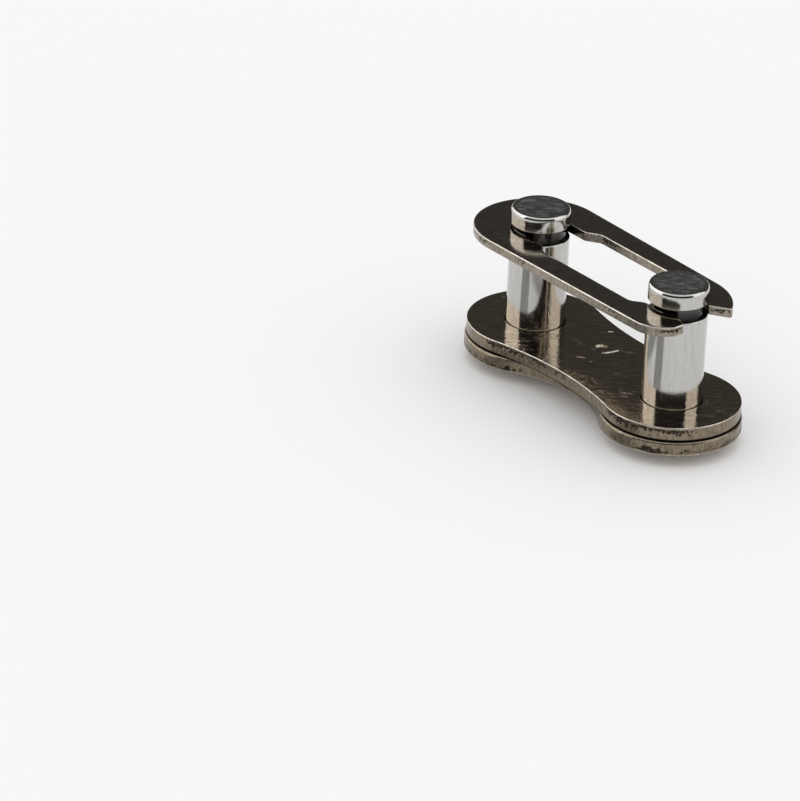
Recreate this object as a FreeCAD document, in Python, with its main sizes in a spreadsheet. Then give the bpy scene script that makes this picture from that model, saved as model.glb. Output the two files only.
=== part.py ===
import FreeCAD, Part
import math
import os

import Sketcher
from FreeCAD import Vector

# A half-inch pitch chain connecting link: two pins riveted into a waisted plate, a loose plate that
# drops over them, and a sprung steel clip that snaps into the grooves near the pins' free ends.
#
# Frame: X runs along the pitch, from the pin at the clip's closed end to the pin at its open end.
# Z runs up the pins. The origin is midway between the pins, on the surface that the rivet ends stand on.

doc = FreeCAD.newDocument("ChainConnectingLink")

SIZES = {
    "pitch": (12.7, "distance between the pins' axes"),
    "pin_radius": (1.8, "radius of the shaft, the rivet end and the head"),
    "rivet_height": (0.8, "height of a rivet end below the pin plate"),
    "rivet_bevel_width": (0.24, "bevel hammered round a rivet end"),
    "bearing_length": (5.6, "free length of a pin between the seated loose plate and the groove"),
    "groove_width": (0.8, "width of the groove that takes the clip"),
    "groove_core_radius": (1.55, "radius of the pin inside its groove"),
    "groove_lip_width": (0.05, "bevel on the two edges of the groove"),
    "head_height": (1.0, "height of the pin above its groove"),
    "head_edge_radius": (0.14, "rounding of the head's top edge"),
    "pin_plate_thickness": (0.85, "thickness of the plate that the pins are riveted into"),
    "pin_plate_end_radius": (4.22, "radius of the pin plate's round ends"),
    "pin_plate_waist_depth": (1.92, "how far the pin plate's waist draws in on each side"),
    "loose_plate_thickness": (0.9, "thickness of the plate that lifts off the pins"),
    "loose_plate_end_inset": (0.09, "step in from the pin plate's round ends to the loose plate's"),
    "loose_plate_waist_depth": (0.85, "how far the loose plate's waist draws in on each side"),
    "hole_clearance": (0.05, "radial play of the loose plate on the pins"),
    "plate_roll_radius": (0.13, "rounded edge that blanking leaves on the side where the punch enters"),
    "plate_rim_width": (0.04, "small bevel that tumbling leaves on the plates' other edges"),
    "clip_thickness": (0.57, "thickness of the clip's strip"),
    "clip_bow_radius": (3.92, "outer radius of the clip's closed end"),
    "clip_bow_offset": (0.12, "distance of the closed end's centre beyond its pin's axis"),
    "clip_leg_taper": (0.9, "angle, in degrees, at which each leg's outer edge draws in"),
    "clip_slot_clearance": (0.07, "play between the narrow slot and the groove's core"),
    "clip_slot_length": (2.25, "length of the narrow slot from its pin's axis"),
    "clip_step_length": (0.8, "length of the slope from the narrow slot to the wide one"),
    "clip_head_clearance": (0.42, "play round the pin's head in the wide slot"),
    "clip_throat_slope_length": (0.7, "length of the slope from the wide slot to the throat"),
    "clip_throat_offset": (1.0, "distance from the open end's pin to the start of the throat"),
    "clip_throat_depth": (0.08, "how far the throat's lips stand in from the seat"),
    "clip_seat_clearance": (0.13, "play between the jaws' seat and the groove's core"),
    "clip_lip_angle": (41.0, "angle, in degrees, at which the seat ends in the snap lip"),
    "clip_tip_length": (2.45, "distance from the open end's pin to the tips"),
    "clip_tip_width": (1.78, "width of each tip, before its corners are rounded"),
    "clip_tip_flat_width": (0.03, "width of a tip that its outer rounding leaves straight"),
    "clip_lip_radius": (0.18, "rounding of the snap lips and the tips' inner corners"),
    "clip_slope_radius": (0.7, "rounding where the slots' edges turn into their slopes"),
    "clip_edge_width": (0.05, "small bevel of the clip's upper and lower edges"),
}

sheet = doc.addObject("Spreadsheet::Sheet", "Sizes")
for row, (alias, (number, meaning)) in enumerate(SIZES.items(), start=1):
    sheet.set(f"A{row}", alias)
    sheet.set(f"B{row}", str(number))
    sheet.set(f"C{row}", meaning)
    sheet.setAlias(f"B{row}", alias)
doc.recompute()

# Places along the pins, worked out from the stack of plates, and places along the link.
PLATE_SEAT = "(Sizes.rivet_height + Sizes.pin_plate_thickness)"
BEARING_FLOOR = f"({PLATE_SEAT} + Sizes.loose_plate_thickness)"
GROOVE_FLOOR = f"({BEARING_FLOOR} + Sizes.bearing_length)"
HEAD_FLOOR = f"({GROOVE_FLOOR} + Sizes.groove_width)"
PIN_TOP = f"({HEAD_FLOOR} + Sizes.head_height)"
CLOSED_PIN = "(-Sizes.pitch / 2)"
OPEN_PIN = "(Sizes.pitch / 2)"

START, END, CENTRE = range(1, 4)
X_AXIS, Y_AXIS = range(-1, -3, -1)
ORIGIN = (X_AXIS, START)


def value(expression):
    """Work out an expression over the sheet's sizes."""
    return float(sheet.evalExpression(expression))


def new_body(label):
    """Start a body with its own label, which also names its file."""
    body = doc.addObject("PartDesign::Body", label)
    body.Label = label
    return body


def new_sketch(body, name, role):
    """Start a sketch on one of the body's own origin planes."""
    sketch = body.newObject("Sketcher::SketchObject", name)
    plane = next(item for item in body.Origin.OriginFeatures if item.Role == role)
    sketch.AttachmentSupport = [(plane, "")]
    sketch.MapMode = "FlatFace"
    return sketch


def dimension(sketch, name, expression, kind, *where):
    """Add a dimension to a sketch, name it and bind it to the sheet."""
    index = sketch.addConstraint(Sketcher.Constraint(kind, *where, value(expression)))
    sketch.renameConstraint(index, name)
    sketch.setExpression(f"Constraints.{name}", expression)


def fix_point(sketch, name, geometry, position, x=None, y=None):
    """Place a point of the sketch by its distances from the origin, or hold it on an axis where one is 0."""
    for kind, axis, expression in (("DistanceX", Y_AXIS, x), ("DistanceY", X_AXIS, y)):
        if expression is None:
            continue
        if expression == "0":
            sketch.addConstraint(Sketcher.Constraint("PointOnObject", geometry, position, axis))
        else:
            label = f"{name}_{kind[-1].lower()}"
            dimension(sketch, label, expression, kind, *ORIGIN, geometry, position)


def arc(centre_x, centre_y, radius, start, end):
    """An arc that runs anticlockwise between two angles in radians."""
    circle = Part.Circle(Vector(centre_x, centre_y, 0), Vector(0, 0, 1), radius)
    return Part.ArcOfCircle(circle, start, end)


def line(start, end):
    return Part.LineSegment(Vector(*start, 0), Vector(*end, 0))


def pad(body, sketch, name, length):
    feature = body.newObject("PartDesign::Pad", name)
    feature.Profile = sketch
    feature.setExpression("Length", length)
    sketch.Visibility = False
    doc.recompute()
    return feature


def face_at(shape, height):
    """The flat horizontal face of a shape at a height in the body's own frame."""
    return next(
        face for face in shape.Faces
        if isinstance(face.Surface, Part.Plane)
        and face.BoundBox.ZLength < 1e-6
        and abs(face.BoundBox.ZMin - height) < 1e-6
    )


def edge_names(shape, edges):
    """The names, such as Edge3, that a shape gives to some of its edges."""
    return [
        f"Edge{number}" for number, edge in enumerate(shape.Edges, start=1)
        if any(edge.isSame(wanted) for wanted in edges)
    ]


def upright_edges(shape, places):
    """The upright edges of a shape that stand at some places of its plan."""
    found = []
    for x, y in places:
        found += [
            edge for edge in shape.Edges
            if edge.BoundBox.XLength < 1e-6
            and edge.BoundBox.YLength < 1e-6
            and math.hypot(edge.CenterOfMass.x - x, edge.CenterOfMass.y - y) < 1e-4
        ]
    return found


def finish_edges(body, base, name, edges, kind, size):
    """Round or bevel some edges of the body's last feature by a size from the sheet."""
    feature = body.newObject(f"PartDesign::{kind}", name)
    feature.Base = (base, edge_names(base.Shape, edges))
    feature.setExpression("Radius" if kind == "Fillet" else "Size", size)
    doc.recompute()
    return feature


def make_pin(label, place):
    """A turned pin: rivet end, shaft, clip groove and head, as one half section spun round its axis."""
    body = new_body(label)
    sketch = new_sketch(body, f"{label}_section", "XZ_Plane")

    radius = "Sizes.pin_radius"
    core = "Sizes.groove_core_radius"
    bevel = "Sizes.rivet_bevel_width"
    lip = "Sizes.groove_lip_width"
    rounding = "Sizes.head_edge_radius"
    corners = [
        ("foot_axis", "0", "0"),
        ("foot_edge", f"{radius} - {bevel}", "0"),
        ("shaft_foot", radius, bevel),
        ("shaft_end", radius, f"{GROOVE_FLOOR} - {lip}"),
        ("groove_lower_lip", f"{radius} - {lip}", GROOVE_FLOOR),
        ("core_foot", core, GROOVE_FLOOR),
        ("core_top", core, HEAD_FLOOR),
        ("groove_upper_lip", f"{radius} - {lip}", HEAD_FLOOR),
        ("head_foot", radius, f"{HEAD_FLOOR} + {lip}"),
        ("head_side_top", radius, f"{PIN_TOP} - {rounding}"),
        ("head_flat_edge", f"{radius} - {rounding}", PIN_TOP),
        ("top_axis", "0", PIN_TOP),
    ]
    points = [(value(x), value(y)) for _, x, y in corners]
    rounded_after = [name for name, _, _ in corners].index("head_side_top")
    count = len(corners)
    for index, start in enumerate(points):
        end = points[(index + 1) % count]
        if index == rounded_after:
            size = value(rounding)
            sketch.addGeometry(arc(start[0] - size, start[1], size, 0, math.pi / 2))
        else:
            sketch.addGeometry(line(start, end))
    for index in range(count):
        following = (index + 1) % count
        sketch.addConstraint(Sketcher.Constraint("Coincident", index, END, following, START))
    for index, (name, x, y) in enumerate(corners):
        fix_point(sketch, name, index, START, x, y)
    dimension(sketch, "head_rounding", rounding, "Radius", rounded_after)

    spin = body.newObject("PartDesign::Revolution", f"{label}_turned")
    spin.Profile = sketch
    spin.ReferenceAxis = (sketch, ["V_Axis"])
    spin.Angle = 360
    sketch.Visibility = False
    body.setExpression("Placement.Base.x", place)
    doc.recompute()
    return body


def make_plate(label, thickness, end_radius, waist_depth, hole_radius, floor, punched_from):
    """A blanked plate: two round ends joined by two hollow arcs, with a hole on each pin's axis."""
    body = new_body(label)
    sketch = new_sketch(body, f"{label}_outline", "XY_Plane")
    half_pitch = value(OPEN_PIN)
    end = value(end_radius)
    waist_radius = (
        f"((Sizes.pitch / 2) ^ 2 - 2 * {end_radius} * {waist_depth} + {waist_depth} ^ 2)"
        f" / (2 * {waist_depth})"
    )
    waist = value(waist_radius)
    waist_centre = end - value(waist_depth) + waist

    # The ends and the waist touch on the line between their centres, at this angle to the X axis.
    touch = math.atan2(waist_centre, half_pitch)
    sketch.addGeometry([
        arc(half_pitch, 0, end, touch - math.pi, math.pi - touch),
        arc(0, waist_centre, waist, math.pi + touch, 2 * math.pi - touch),
        arc(-half_pitch, 0, end, touch, 2 * math.pi - touch),
        arc(0, -waist_centre, waist, touch, math.pi - touch),
        Part.Circle(Vector(half_pitch, 0, 0), Vector(0, 0, 1), value(hole_radius)),
        Part.Circle(Vector(-half_pitch, 0, 0), Vector(0, 0, 1), value(hole_radius)),
    ])
    open_end, upper_waist, closed_end, lower_waist, open_hole, closed_hole = range(6)
    for first, first_point, second, second_point in (
        (open_end, END, upper_waist, END),
        (upper_waist, START, closed_end, START),
        (closed_end, END, lower_waist, END),
        (lower_waist, START, open_end, START),
    ):
        touching = Sketcher.Constraint("Tangent", first, first_point, second, second_point)
        sketch.addConstraint(touching)
    sketch.addConstraint(Sketcher.Constraint("Equal", open_end, closed_end))
    sketch.addConstraint(Sketcher.Constraint("Equal", upper_waist, lower_waist))
    sketch.addConstraint(Sketcher.Constraint("Equal", open_hole, closed_hole))
    fix_point(sketch, "open_end", open_end, CENTRE, OPEN_PIN, "0")
    fix_point(sketch, "closed_end", closed_end, CENTRE, CLOSED_PIN, "0")
    sketch.addConstraint(Sketcher.Constraint("Coincident", open_hole, CENTRE, open_end, CENTRE))
    sketch.addConstraint(Sketcher.Constraint("Coincident", closed_hole, CENTRE, closed_end, CENTRE))
    dimension(sketch, "end_radius", end_radius, "Radius", open_end)
    dimension(sketch, "waist_radius", waist_radius, "Radius", upper_waist)
    dimension(sketch, "hole_radius", hole_radius, "Radius", open_hole)
    blank = pad(body, sketch, f"{label}_blank", thickness)

    # The punch rolls the edge on the side where it enters; the other side keeps a fine rim.
    roll_height, rim_height = ("0", thickness) if punched_from == "below" else (thickness, "0")
    roll_edges = face_at(blank.Shape, value(roll_height)).OuterWire.Edges
    roll = "Sizes.plate_roll_radius"
    rolled = finish_edges(body, blank, f"{label}_roll", roll_edges, "Fillet", roll)
    rim_edges = face_at(rolled.Shape, value(rim_height)).OuterWire.Edges
    finish_edges(body, rolled, f"{label}_rim", rim_edges, "Chamfer", "Sizes.plate_rim_width")
    body.setExpression("Placement.Base.z", floor)
    doc.recompute()
    return body


def make_clip(label):
    """The spring clip: a flat bow with two legs, a stepped slot, and jaws that snap round the open pin.

    One half is drawn above the X axis and mirrored; the corners are then rounded in plan.
    """
    body = new_body(label)
    sketch = new_sketch(body, f"{label}_half", "XY_Plane")

    bow_centre = f"({CLOSED_PIN} - Sizes.clip_bow_offset)"
    bow_radius = "Sizes.clip_bow_radius"
    slot_gap = "(Sizes.groove_core_radius + Sizes.clip_slot_clearance)"
    wide_gap = "(Sizes.pin_radius + Sizes.clip_head_clearance)"
    seat_radius = "(Sizes.groove_core_radius + Sizes.clip_seat_clearance)"
    throat_gap = f"({seat_radius} - Sizes.clip_throat_depth)"
    lip_height = f"({seat_radius} * sin(Sizes.clip_lip_angle * 1deg))"
    slot_end = f"({CLOSED_PIN} + Sizes.clip_slot_length)"
    wide_start = f"({slot_end} + Sizes.clip_step_length)"
    throat_start = f"({OPEN_PIN} - Sizes.clip_throat_offset)"
    wide_end = f"({throat_start} - Sizes.clip_throat_slope_length)"
    tip_end = f"({OPEN_PIN} + Sizes.clip_tip_length)"
    taper_angle = "(Sizes.clip_leg_taper * 1deg)"
    bow_tangent_x = f"({bow_centre} + {bow_radius} * sin{taper_angle})"
    leg_drop = f"(({tip_end} - {bow_tangent_x}) * tan{taper_angle})"
    tip_outer_y = f"({bow_radius} * cos{taper_angle} - {leg_drop})"
    tip_inner_y = f"({tip_outer_y} - Sizes.clip_tip_width)"

    closed, opened = value(CLOSED_PIN), value(OPEN_PIN)
    centre, bow = value(bow_centre), value(bow_radius)
    slot, seat, throat = value(slot_gap), value(seat_radius), value(throat_gap)
    taper = math.radians(value("Sizes.clip_leg_taper"))
    lip_angle = math.radians(value("Sizes.clip_lip_angle"))
    throat_angle = math.pi - math.asin(throat / seat)

    bow_tangent = (value(bow_tangent_x), bow * math.cos(taper))
    tip_outer = (value(tip_end), value(tip_outer_y))
    tip_inner = (value(tip_end), value(tip_inner_y))
    lip = (opened + seat * math.cos(lip_angle), seat * math.sin(lip_angle))
    throat_back = (opened + seat * math.cos(throat_angle), throat)
    throat_front = (value(throat_start), throat)
    wide_back = (value(wide_end), value(wide_gap))
    wide_front = (value(wide_start), value(wide_gap))
    slot_front = (value(slot_end), slot)
    slot_back = (closed, slot)
    heel_inner = (closed - slot, 0)
    heel_outer = (centre - bow, 0)
    sketch.addGeometry([
        arc(centre, 0, bow, math.pi / 2 - taper, math.pi),
        line(bow_tangent, tip_outer),
        line(tip_outer, tip_inner),
        line(tip_inner, lip),
        arc(opened, 0, seat, lip_angle, throat_angle),
        line(throat_back, throat_front),
        line(throat_front, wide_back),
        line(wide_back, wide_front),
        line(wide_front, slot_front),
        line(slot_front, slot_back),
        arc(closed, 0, slot, math.pi / 2, math.pi),
        line(heel_inner, heel_outer),
    ])
    (outer_bow, leg, tip, lead_in, jaw_seat, throat_edge, throat_slope,
     wide_edge, step_slope, narrow_edge, slot_bow, heel) = range(12)

    for first, first_point, second, second_point in (
        (leg, END, tip, START),
        (tip, END, lead_in, START),
        (lead_in, END, jaw_seat, START),
        (jaw_seat, END, throat_edge, START),
        (throat_edge, END, throat_slope, START),
        (throat_slope, END, wide_edge, START),
        (wide_edge, END, step_slope, START),
        (step_slope, END, narrow_edge, START),
        (slot_bow, END, heel, START),
        (heel, END, outer_bow, END),
    ):
        meeting = Sketcher.Constraint("Coincident", first, first_point, second, second_point)
        sketch.addConstraint(meeting)
    sketch.addConstraint(Sketcher.Constraint("Tangent", outer_bow, START, leg, START))
    sketch.addConstraint(Sketcher.Constraint("Tangent", narrow_edge, END, slot_bow, START))
    for level in (throat_edge, wide_edge, narrow_edge):
        sketch.addConstraint(Sketcher.Constraint("Horizontal", level))
    sketch.addConstraint(Sketcher.Constraint("Vertical", tip))
    fix_point(sketch, "bow", outer_bow, CENTRE, bow_centre, "0")
    fix_point(sketch, "bow_heel", outer_bow, END, y="0")
    fix_point(sketch, "slot_pin", slot_bow, CENTRE, CLOSED_PIN, "0")
    fix_point(sketch, "slot_heel", slot_bow, END, y="0")
    fix_point(sketch, "seat", jaw_seat, CENTRE, OPEN_PIN, "0")
    fix_point(sketch, "lip", jaw_seat, START, y=lip_height)
    fix_point(sketch, "tip_outer", tip, START, x=tip_end)
    fix_point(sketch, "tip_inner", tip, END, y=tip_inner_y)
    fix_point(sketch, "throat_front", throat_slope, START, throat_start, throat_gap)
    fix_point(sketch, "wide_back", wide_edge, START, wide_end, wide_gap)
    fix_point(sketch, "wide_front", wide_edge, END, x=wide_start)
    fix_point(sketch, "slot_front", narrow_edge, START, x=slot_end)
    dimension(sketch, "bow_radius", bow_radius, "Radius", outer_bow)
    dimension(sketch, "seat_radius", seat_radius, "Radius", jaw_seat)
    dimension(sketch, "slot_radius", slot_gap, "Radius", slot_bow)
    dimension(sketch, "leg_taper", f"-{taper_angle}", "Angle", leg)
    half = pad(body, sketch, f"{label}_blank", "Sizes.clip_thickness")

    mirrored = body.newObject("PartDesign::Mirrored", f"{label}_mirrored")
    mirrored.Originals = [half]
    mirrored.MirrorPlane = (sketch, ["H_Axis"])
    body.Tip = mirrored
    doc.recompute()

    base = mirrored
    for name, places, radius in (
        ("tips", [tip_outer], "Sizes.clip_tip_width - Sizes.clip_tip_flat_width"),
        ("lips", [tip_inner, lip, throat_back], "Sizes.clip_lip_radius"),
        ("slopes", [throat_front, wide_back, wide_front, slot_front], "Sizes.clip_slope_radius"),
    ):
        both_legs = [(x, side * y) for x, y in places for side in (1, -1)]
        corners = upright_edges(base.Shape, both_legs)
        base = finish_edges(body, base, f"{label}_{name}", corners, "Fillet", radius)
    for name, height in (("lower_edge", 0), ("upper_edge", value("Sizes.clip_thickness"))):
        rim = face_at(base.Shape, height).Edges
        name = f"{label}_{name}"
        base = finish_edges(body, base, name, rim, "Chamfer", "Sizes.clip_edge_width")
    body.setExpression("Placement.Base.z", GROOVE_FLOOR)
    doc.recompute()
    return body


pieces = [
    make_pin("closed_end_pin", CLOSED_PIN),
    make_pin("open_end_pin", OPEN_PIN),
    make_plate(
        "pin_plate",
        "Sizes.pin_plate_thickness",
        "Sizes.pin_plate_end_radius",
        "Sizes.pin_plate_waist_depth",
        "Sizes.pin_radius",
        "Sizes.rivet_height",
        "above",
    ),
    make_plate(
        "loose_plate",
        "Sizes.loose_plate_thickness",
        "(Sizes.pin_plate_end_radius - Sizes.loose_plate_end_inset)",
        "Sizes.loose_plate_waist_depth",
        "(Sizes.pin_radius + Sizes.hole_clearance)",
        PLATE_SEAT,
        "below",
    ),
    make_clip("spring_clip"),
]
doc.recompute()

for item in doc.Objects:
    if {"Invalid", "Error"} & set(item.State):
        raise RuntimeError(f"{item.Label} did not build")
for piece in pieces:
    if piece.Shape.isNull() or not piece.Shape.isValid() or len(piece.Shape.Solids) != 1:
        raise RuntimeError(f"{piece.Label} is not one sound solid")

os.makedirs("parts", exist_ok=True)
for piece in pieces:
    piece.Shape.exportStep(f"parts/{piece.Label}.step")
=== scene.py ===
import itertools
import math

import bmesh
import bpy
import numpy as np
from bpy.props import FloatProperty, FloatVectorProperty, PointerProperty
from mathutils import Matrix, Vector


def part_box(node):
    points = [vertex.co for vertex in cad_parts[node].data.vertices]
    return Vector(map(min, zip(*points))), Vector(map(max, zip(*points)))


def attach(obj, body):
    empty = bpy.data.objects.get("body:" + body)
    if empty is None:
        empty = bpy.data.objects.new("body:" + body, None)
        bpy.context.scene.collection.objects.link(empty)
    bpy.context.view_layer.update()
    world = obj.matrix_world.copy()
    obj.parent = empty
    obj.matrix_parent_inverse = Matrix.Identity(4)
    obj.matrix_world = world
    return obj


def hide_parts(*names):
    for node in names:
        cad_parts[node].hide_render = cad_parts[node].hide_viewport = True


bl_info = {
    "name": "Chain connecting link",
    "version": (1, 0, 0),
    "blender": (4, 5, 0),
    "location": "3D View > Sidebar > Connecting link",
    "description": "Pins, waisted plates and spring clip of a half-inch pitch chain connecting link",
    "category": "Add Mesh",
}

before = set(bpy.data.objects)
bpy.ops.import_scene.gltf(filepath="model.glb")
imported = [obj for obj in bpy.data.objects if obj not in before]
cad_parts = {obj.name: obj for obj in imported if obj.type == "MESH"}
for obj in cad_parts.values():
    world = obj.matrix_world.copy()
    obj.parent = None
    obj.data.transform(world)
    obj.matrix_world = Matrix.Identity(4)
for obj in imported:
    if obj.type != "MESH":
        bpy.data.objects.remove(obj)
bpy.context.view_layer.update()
MM = 0.001

# A point this near to a level lies on it, and points this near to each other are welded.
ON_LEVEL = 1e-6
WELD = 3e-7

# The heights of the stack of pieces come from the solids.
PIN_PLATE_Z = (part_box("pin_plate")[0].z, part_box("pin_plate")[1].z)
LOOSE_PLATE_Z = (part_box("loose_plate")[0].z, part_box("loose_plate")[1].z)
PIN_TOP_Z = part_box("open_end_pin")[1].z


def linear(code):
    """The linear values of an sRGB hex colour: c / 12.92 when dark, else ((c + 0.055) / 1.055) ^ 2.4."""
    c = np.array([int(code[i:i + 2], 16) for i in (1, 3, 5)]) / 255.0
    return tuple(np.where(c <= 0.04045, c / 12.92, ((c + 0.055) / 1.055) ** 2.4).tolist())


def length(name, default, description):
    """A length in metres that the sidebar shows in the scene's unit."""
    return FloatProperty(
        name=name, description=description, default=default, min=0.0,
        subtype="DISTANCE", unit="LENGTH", precision=5,
    )


def colour(name, code, description):
    """A colour that is written as sRGB hex and kept as linear values."""
    return FloatVectorProperty(
        name=name, description=description, default=linear(code), size=3,
        subtype="COLOR", min=0.0, max=1.0,
    )


class LinkSizes(bpy.types.PropertyGroup):
    """The link's sizes: those of its solids, apart from the fine rounding of the edges."""

    pitch: length("Pitch", 0.0127, "Distance between the pins' axes")
    pin_radius: length("Pin radius", 0.0018, "Radius of shaft, rivet end and head")
    core_radius: length("Groove core radius", 0.00155, "Radius of a pin inside its groove")
    groove_floor: length("Groove floor", 0.00815, "Height of the groove's lower side")
    groove_width: length("Groove width", 0.0008, "Width of the groove that takes the clip")
    groove_lip: length("Groove lip", 0.00005, "Fine rounding of the groove's two edges")
    rivet_bevel: length("Rivet bevel", 0.00024, "Bevel hammered round a rivet end")
    head_rounding: length("Head rounding", 0.00014, "Width of the rounding at the head's top edge")
    head_edge_drop: length("Head edge drop", 0.000308, "Height of the rounding at the head's top edge")
    pin_plate_end: length("Pin plate end", 0.00422, "Radius of the pin plate's round ends")
    pin_plate_waist: length("Pin plate waist", 0.00192, "How far its waist draws in on each side")
    loose_plate_end: length("Loose plate end", 0.00413, "Radius of the loose plate's round ends")
    loose_plate_waist: length("Loose plate waist", 0.00085, "How far its waist draws in on each side")
    hole_play: length("Hole play", 0.00005, "Radial play of the loose plate on the pins")
    plate_roll: length("Plate roll", 0.00018, "Edge that blanking rolls on the punch side")
    plate_rim: length("Plate rim", 0.00004, "Fine rounding of the plates' other edges")
    clip_thickness: length("Clip thickness", 0.00057, "Thickness of the clip's strip")
    clip_bow: length("Clip bow radius", 0.00392, "Outer radius of the clip's closed end")
    clip_bow_offset: length("Clip bow offset", 0.00012, "Closed end's centre beyond its pin's axis")
    clip_slot: length("Clip slot", 0.00162, "Half the width of the narrow slot")
    clip_wide_slot: length("Clip wide slot", 0.00222, "Half the width of the wide slot")
    clip_seat: length("Clip seat radius", 0.00168, "Radius of the jaws' seat")
    clip_throat: length("Clip throat", 0.0016, "Half the width of the throat")
    clip_edge: length("Clip edge", 0.00005, "Fine rounding of the clip's edges")


class LinkColours(bpy.types.PropertyGroup):
    """The finishes' colours."""

    nickel: colour("Nickel", "#B7A892", "Warm nickel finish of the plates")
    clip_nickel: colour("Clip nickel", "#B0A697", "Warm nickel finish of the clip")
    fracture: colour("Fracture", "#2C2721", "Torn part of the blanked edges")
    # Partly real wear and partly painted highlight on the plates' and clip's rims and on the dents.
    worn_and_highlight: colour("Wear and highlight", "#EAE3D8", "Rims and dents that are worn bright")
    # Painted shade: near-black laid on the rolled edges in the gap between the plates.
    painted_shade: colour("Painted gap shade", "#12100D", "Old grease in the gap between the plates")
    pin: colour("Pin", "#C4C2BF", "Ground and polished pin steel")
    # Painted shade: dark colour laid down in the pins' grooves, where shade falls.
    groove: colour("Groove", "#211F1D", "Oiled steel down in the pins' grooves")
    floor: colour("Floor", "#F8F8F8", "Matt board that the link stands on")
    card: colour("Card", "#484848", "Studio card behind the link, which its flat faces mirror")


# Odd factors of the hash that gives a lattice point its number, and the 32 bits that it keeps.
LATTICE_FACTORS = (73856093, 19349663, 83492791)
SEED_FACTOR, FIRST_MIXER, SECOND_MIXER = 7919, 2654435761, 2246822519
WORD = 0xFFFFFFFF


def value_noise(points, cell, seed):
    """Smooth noise from 0 to 1: random numbers on a lattice of the cell's size, blended between
    the eight corners round each point with the weights 3t^2 - 2t^3."""
    scaled = np.asarray(points, float) / cell
    base = np.floor(scaled).astype(np.int64)
    share = scaled - base
    share = share * share * (3 - 2 * share)
    total = np.zeros(scaled.shape[:-1])
    for corner in itertools.product((0, 1), repeat=3):
        mixed = np.bitwise_xor.reduce((base + np.array(corner)) * LATTICE_FACTORS, axis=-1)
        mixed = (mixed + seed * SEED_FACTOR) * FIRST_MIXER & WORD
        mixed = (mixed ^ mixed >> 15) * SECOND_MIXER & WORD
        mixed = (mixed ^ mixed >> 13) & WORD
        weight = np.prod(np.where(np.array(corner) == 1, share, 1 - share), axis=-1)
        total += weight * mixed / WORD
    return total


def smooth_step(low, high, x):
    """0 below low, 1 above high, and 3t^2 - 2t^3 between them."""
    t = np.clip((x - low) / (high - low), 0, 1)
    return t * t * (3 - 2 * t)


def arc_points(centre, radius, start, end, count):
    """Points on a circle: centre + radius (cos a, sin a), for count angles from start to end."""
    angle = np.linspace(start, end, count)
    return np.stack([centre[0] + radius * np.cos(angle), centre[1] + radius * np.sin(angle)], axis=-1)


def path_normals(path):
    """Unit normals on the right-hand side of an open path: its tangent turned by a right angle."""
    tangent = np.gradient(path, axis=0)
    normal = np.stack([tangent[:, 1], -tangent[:, 0]], axis=-1)
    return normal / np.linalg.norm(normal, axis=-1, keepdims=True)


def resample(path, spacing):
    """Points at even steps along a path, with its ends kept and its doubled points dropped."""
    doubled = 1e-9
    run = np.concatenate([[0], np.cumsum(np.linalg.norm(np.diff(path, axis=0), axis=1))])
    keep = np.concatenate([[True], np.diff(run) > doubled])
    run, path = run[keep], path[keep]
    steps = np.linspace(0, run[-1], int(round(run[-1] / spacing)) + 1)
    return np.stack([np.interp(steps, run, path[:, i]) for i in (0, 1)], axis=-1)


def fillet(before, corner, after, radius, count):
    """Arc that rounds the corner of two straight runs. It touches each radius tan(turn / 2) from it."""
    before, corner, after = (np.array(p, float) for p in (before, corner, after))
    u = (corner - before) / np.linalg.norm(corner - before)
    v = (after - corner) / np.linalg.norm(after - corner)
    cross = u[0] * v[1] - u[1] * v[0]
    turn = math.atan2(cross, float(u @ v))
    side = math.copysign(1.0, turn)
    first = corner - u * radius * math.tan(abs(turn) / 2)
    centre = first + side * radius * np.array([-u[1], u[0]])
    start = math.atan2(*(first - centre)[::-1])
    return arc_points(centre, radius, start, start + turn, count)


def sheet_grid(xy, z):
    """A grid of points from a grid of plan points and their heights."""
    return np.concatenate([xy, np.broadcast_to(z, xy.shape[:-1])[..., None]], axis=-1)


def grid_quads(rows, columns, offset=0):
    """The faces of a grid of points, each with its corners along the second index, then the first."""
    index = np.arange(rows * columns).reshape(rows, columns) + offset
    quads = np.stack([index[:-1, :-1], index[:-1, 1:], index[1:, 1:], index[1:, :-1]], axis=-1)
    return quads.reshape(-1, 4)


# Shares from 0 to 1 that the materials read at each point: torn metal, edges and dents worn bright
# with a painted highlight, blanked walls, painted shade in the gap between the plates and down in the
# pins' grooves, and the wiped tops of the pins.
POINT_SHARES = ("fracture", "rim", "wall", "painted_shade", "scuff")


def add_mesh_piece(name, grids, material, body, node):
    """Put grids of points into one closed mesh, weld their seams, and let it stand for its node.

    Each grid is (points, shares by name). A quad's corners run along the second index, then the first,
    so that its normal is the cross product of the second index's direction with the first's.
    """
    vertices, faces, offset = [], [], 0
    shares = {key: [] for key in POINT_SHARES}
    for points, marks in grids:
        rows, columns = points.shape[:2]
        vertices.append(points.reshape(-1, 3))
        faces.append(grid_quads(rows, columns, offset))
        for key, values in shares.items():
            values.append(np.broadcast_to(marks.get(key, 0.0), (rows, columns)).reshape(-1))
        offset += rows * columns
    mesh = bpy.data.meshes.new(name)
    mesh.from_pydata(np.concatenate(vertices), [], np.concatenate(faces))
    for key, values in shares.items():
        attribute = mesh.attributes.new(key, "FLOAT", "POINT")
        attribute.data.foreach_set("value", np.concatenate(values).astype(np.float32))
    welded = bmesh.new()
    welded.from_mesh(mesh)
    bmesh.ops.remove_doubles(welded, verts=welded.verts, dist=WELD)
    open_edges = sum(1 for edge in welded.edges if not edge.is_manifold)
    welded.to_mesh(mesh)
    welded.free()
    if open_edges:
        raise RuntimeError(f"{name} has {open_edges} open edges")
    mesh.shade_smooth()
    mesh.materials.append(material)
    piece = bpy.data.objects.new(name, mesh)
    bpy.context.scene.collection.objects.link(piece)
    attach(piece, body)
    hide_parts(node)
    return piece


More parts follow.
